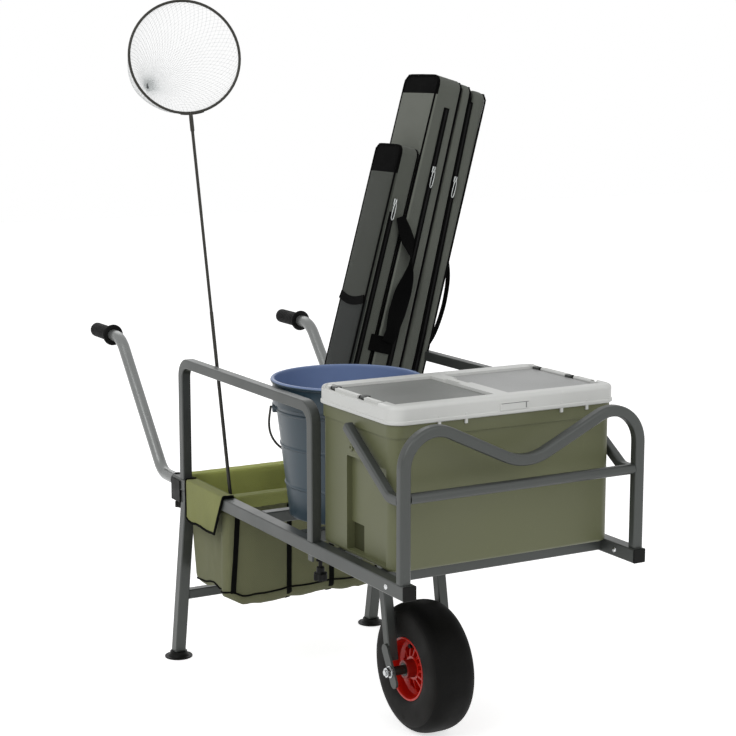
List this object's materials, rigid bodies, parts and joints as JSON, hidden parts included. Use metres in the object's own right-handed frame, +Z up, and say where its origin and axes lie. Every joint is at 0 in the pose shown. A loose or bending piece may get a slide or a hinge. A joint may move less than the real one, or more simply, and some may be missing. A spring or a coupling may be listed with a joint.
{
  "type": "fishing trolley",
  "caption": "Steel hand cart with a front wheel and rear feet, bent side hoops and guard, loaded with a cooler, a bucket, rod cases, a landing net and a cloth bag.",
  "frame": {"origin": "middle of the foot of the whole trolley's bounding box, on the ground", "axes": "+X across the trolley to its left side, +Y from the front to the handles, +Z up"},
  "size_m": [0.8038, 1.5522, 1.5186],
  "materials": {
    "frame_paint": "grey satin paint",
    "handle_metal": "glossy grey",
    "plated_steel": "bright plated",
    "black_plastic": "matt",
    "black_rubber": "matt",
    "tyre_rubber": "matt",
    "rim_red": "semi-gloss",
    "cooler_green": "satin",
    "lid_white": "satin",
    "hatch_dark": "satin",
    "hatch_light": "satin",
    "bucket_blue": "semi-gloss",
    "case_cloth": "woven",
    "bag_cloth": "woven",
    "net_mesh": "mesh",
    "dark_metal": "satin"
  },
  "bodies": {
    "frame": {"rear_rail_right": "frame_paint", "rear_rail_left": "frame_paint", "fork_crosstube": "frame_paint", "bucket_crosstube": "frame_paint", "bag_crosstube": "frame_paint", "rear_crosstube": "frame_paint", "side_hoop_right": "frame_paint", "side_hoop_left": "frame_paint", "leg_right": "frame_paint", "leg_left": "frame_paint", "foot_right": "black_plastic", "foot_left": "black_plastic", "leg_brace": "frame_paint", "fork_leg_right": "frame_paint", "fork_leg_left": "frame_paint", "dropout_right": "plated_steel", "dropout_left": "plated_steel", "axle_nut_right": "plated_steel", "axle_nut_left": "plated_steel", "axle_spacer_right": "plated_steel", "axle_spacer_left": "plated_steel", "axle": "plated_steel", "bag": "bag_cloth"},
    "front_frame": {"front_rail_right": "frame_paint", "front_rail_left": "frame_paint", "front_cap_right": "black_plastic", "front_cap_left": "black_plastic", "deck_tube_front": "frame_paint", "deck_tube_rear": "frame_paint", "front_guard": "frame_paint", "guard_crossbar": "frame_paint", "guard_arm_right": "frame_paint", "guard_arm_left": "frame_paint"},
    "wheel": {"tyre": "tyre_rubber", "inner_tube": "black_rubber", "rim": "rim_red", "hub": "plated_steel", "valve": "black_rubber", "bearing_right": "plated_steel", "bearing_left": "plated_steel"},
    "joint_knob_right": {"joint_knob_right": "black_plastic"},
    "handle_knob_right": {"handle_knob_right": "black_plastic"},
    "handle_right": {"handle_tube_right": "handle_metal", "handle_grip_right": "black_rubber"},
    "hatch_right": {"hatch_right": "hatch_dark"},
    "joint_knob_left": {"joint_knob_left": "black_plastic"},
    "handle_knob_left": {"handle_knob_left": "black_plastic"},
    "handle_left": {"handle_tube_left": "handle_metal", "handle_grip_left": "black_rubber"},
    "hatch_left": {"hatch_left": "hatch_light"},
    "cooler": {"cooler_tub": "cooler_green"},
    "cooler_lid": {"cooler_lid": "lid_white"},
    "cooler_latch": {"cooler_latch": "lid_white"},
    "bucket": {"bucket": "bucket_blue"},
    "bail": {"bail": "dark_metal"},
    "tall_case": {"tall_case": "case_cloth"},
    "short_case": {"short_case": "case_cloth"},
    "landing_net": {"net_hoop": "dark_metal", "net_pole": "dark_metal", "net_bag": "net_mesh"}
  },
  "joints": [
    {"name": "front_frame_slide", "type": "slide", "parent": "frame", "child": "front_frame", "axis": [0, -1, 0], "range_m": [0, 0.06]},
    {"name": "wheel_spin", "type": "hinge", "parent": "frame", "child": "wheel", "pos_m": [-0.00876, -0.39815, 0.138], "axis": [1, 0, 0], "continuous": true},
    {"name": "joint_knob_right_turn", "type": "hinge", "parent": "frame", "child": "joint_knob_right", "pos_m": [-0.26976, -0.42915, 0.416], "axis": [0, 0, 1], "range_deg": [0, 360]},
    {"name": "handle_knob_right_turn", "type": "hinge", "parent": "frame", "child": "handle_knob_right", "pos_m": [-0.26976, 0.25885, 0.416], "axis": [0, 0, 1], "range_deg": [0, 360]},
    {"name": "handle_right_slide", "type": "slide", "parent": "frame", "child": "handle_right", "axis": [0, 1, 0], "range_m": [0, 0.08]},
    {"name": "joint_knob_left_turn", "type": "hinge", "parent": "frame", "child": "joint_knob_left", "pos_m": [0.25224, -0.42915, 0.416], "axis": [0, 0, 1], "range_deg": [0, 360]},
    {"name": "handle_knob_left_turn", "type": "hinge", "parent": "frame", "child": "handle_knob_left", "pos_m": [0.25224, 0.25885, 0.416], "axis": [0, 0, 1], "range_deg": [0, 360]},
    {"name": "handle_left_slide", "type": "slide", "parent": "frame", "child": "handle_left", "axis": [0, 1, 0], "range_m": [0, 0.08]},
    {"name": "cooler_lift", "type": "slide", "parent": "front_frame", "child": "cooler", "axis": [0, 0, 1], "range_m": [0, 0.3]},
    {"name": "cooler_lid_lift", "type": "slide", "parent": "cooler", "child": "cooler_lid", "axis": [0, 0, 1], "range_m": [0, 0.1]},
    {"name": "hatch_right_hinge", "type": "hinge", "parent": "cooler_lid", "child": "hatch_right", "pos_m": [-0.24826, -0.55865, 0.7561], "axis": [0, -1, 0], "range_deg": [0, 105]},
    {"name": "hatch_left_hinge", "type": "hinge", "parent": "cooler_lid", "child": "hatch_left", "pos_m": [0.23074, -0.55865, 0.7561], "axis": [0, 1, 0], "range_deg": [0, 105]},
    {"name": "cooler_latch_hinge", "type": "hinge", "parent": "cooler_lid", "child": "cooler_latch", "pos_m": [0.00324, -0.70145, 0.7486], "axis": [-1, 0, 0], "range_deg": [0, 70]},
    {"name": "bucket_lift", "type": "slide", "parent": "frame", "child": "bucket", "axis": [0, 0, 1], "range_m": [0, 0.3]},
    {"name": "bail_swing", "type": "hinge", "parent": "bucket", "child": "bail", "pos_m": [-0.10126, -0.23315, 0.6703], "axis": [0.8712, -0.4909, 0], "range_deg": [0, 160]},
    {"name": "tall_case_lift", "type": "slide", "parent": "frame", "child": "tall_case", "axis": [0.2656, 0, 0.9641], "range_m": [0, 0.3]},
    {"name": "short_case_lift", "type": "slide", "parent": "frame", "child": "short_case", "axis": [0.2656, 0, 0.9641], "range_m": [0, 0.3]},
    {"name": "landing_net_lift", "type": "slide", "parent": "frame", "child": "landing_net", "axis": [-0.0323, 0.144, 0.9891], "range_m": [0, 0.3]}
  ]
}
